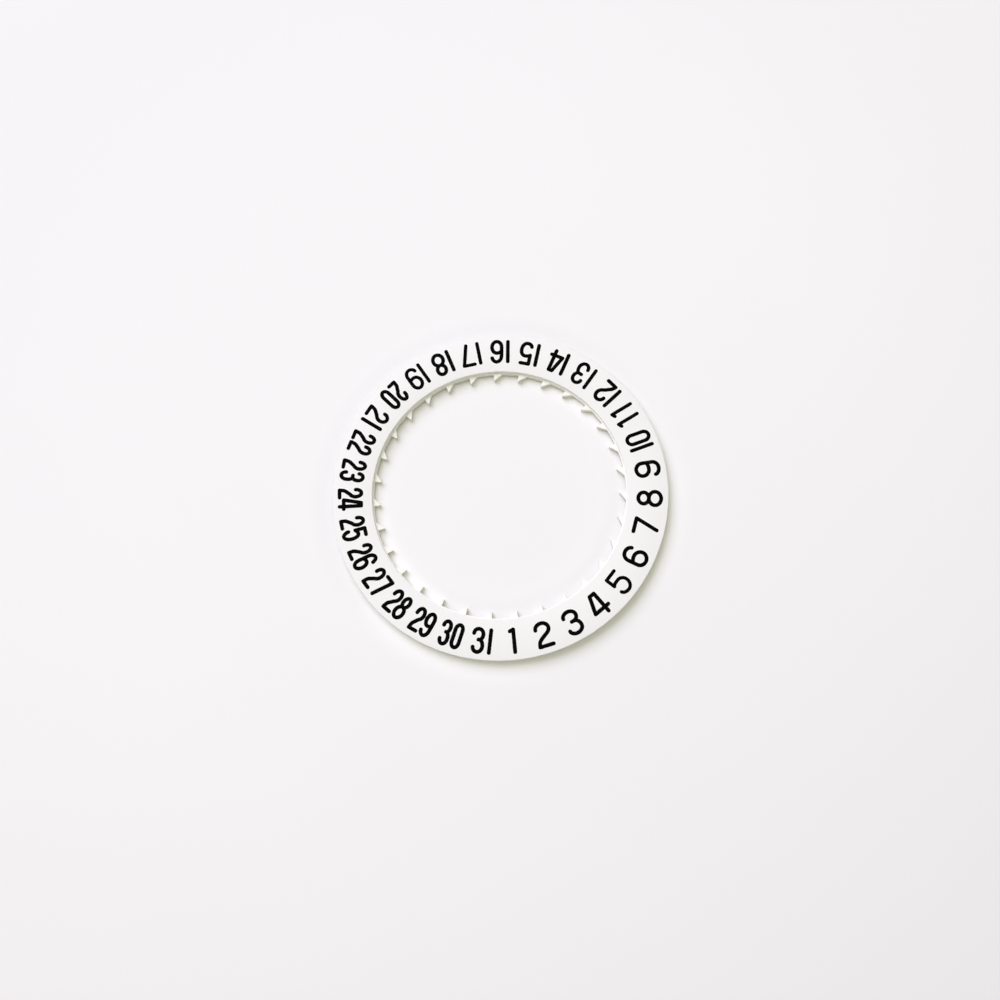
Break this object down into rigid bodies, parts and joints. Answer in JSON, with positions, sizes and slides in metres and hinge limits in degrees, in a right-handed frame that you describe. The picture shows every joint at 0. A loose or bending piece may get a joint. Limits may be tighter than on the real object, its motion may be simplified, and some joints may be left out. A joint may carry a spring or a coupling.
{
  "type": "watch date disc",
  "caption": "Flat annular date disc of a watch calendar: white printed numeral plate bonded on a ring with inward ratchet teeth.",
  "frame": {"origin": "centre of the disc on its underside, the face that it runs on", "axes": "+Z is the disc's axis, out of the printed face; day 1 lies towards -Y and the days run anticlockwise seen from +Z"},
  "size_m": [0.022, 0.022, 0.0007],
  "materials": {
    "plate_white": "satin white, smooth enough to print on, with a softly broken rim",
    "ring_white": "plain off-white self-lubricating plastic, matt, with cut tooth flanks",
    "numeral_ink": "thin black printing ink, nearly matt"
  },
  "bodies": {
    "disc": {"numeral_plate": "plate_white", "tooth_ring": "ring_white"}
  },
  "joints": []
}
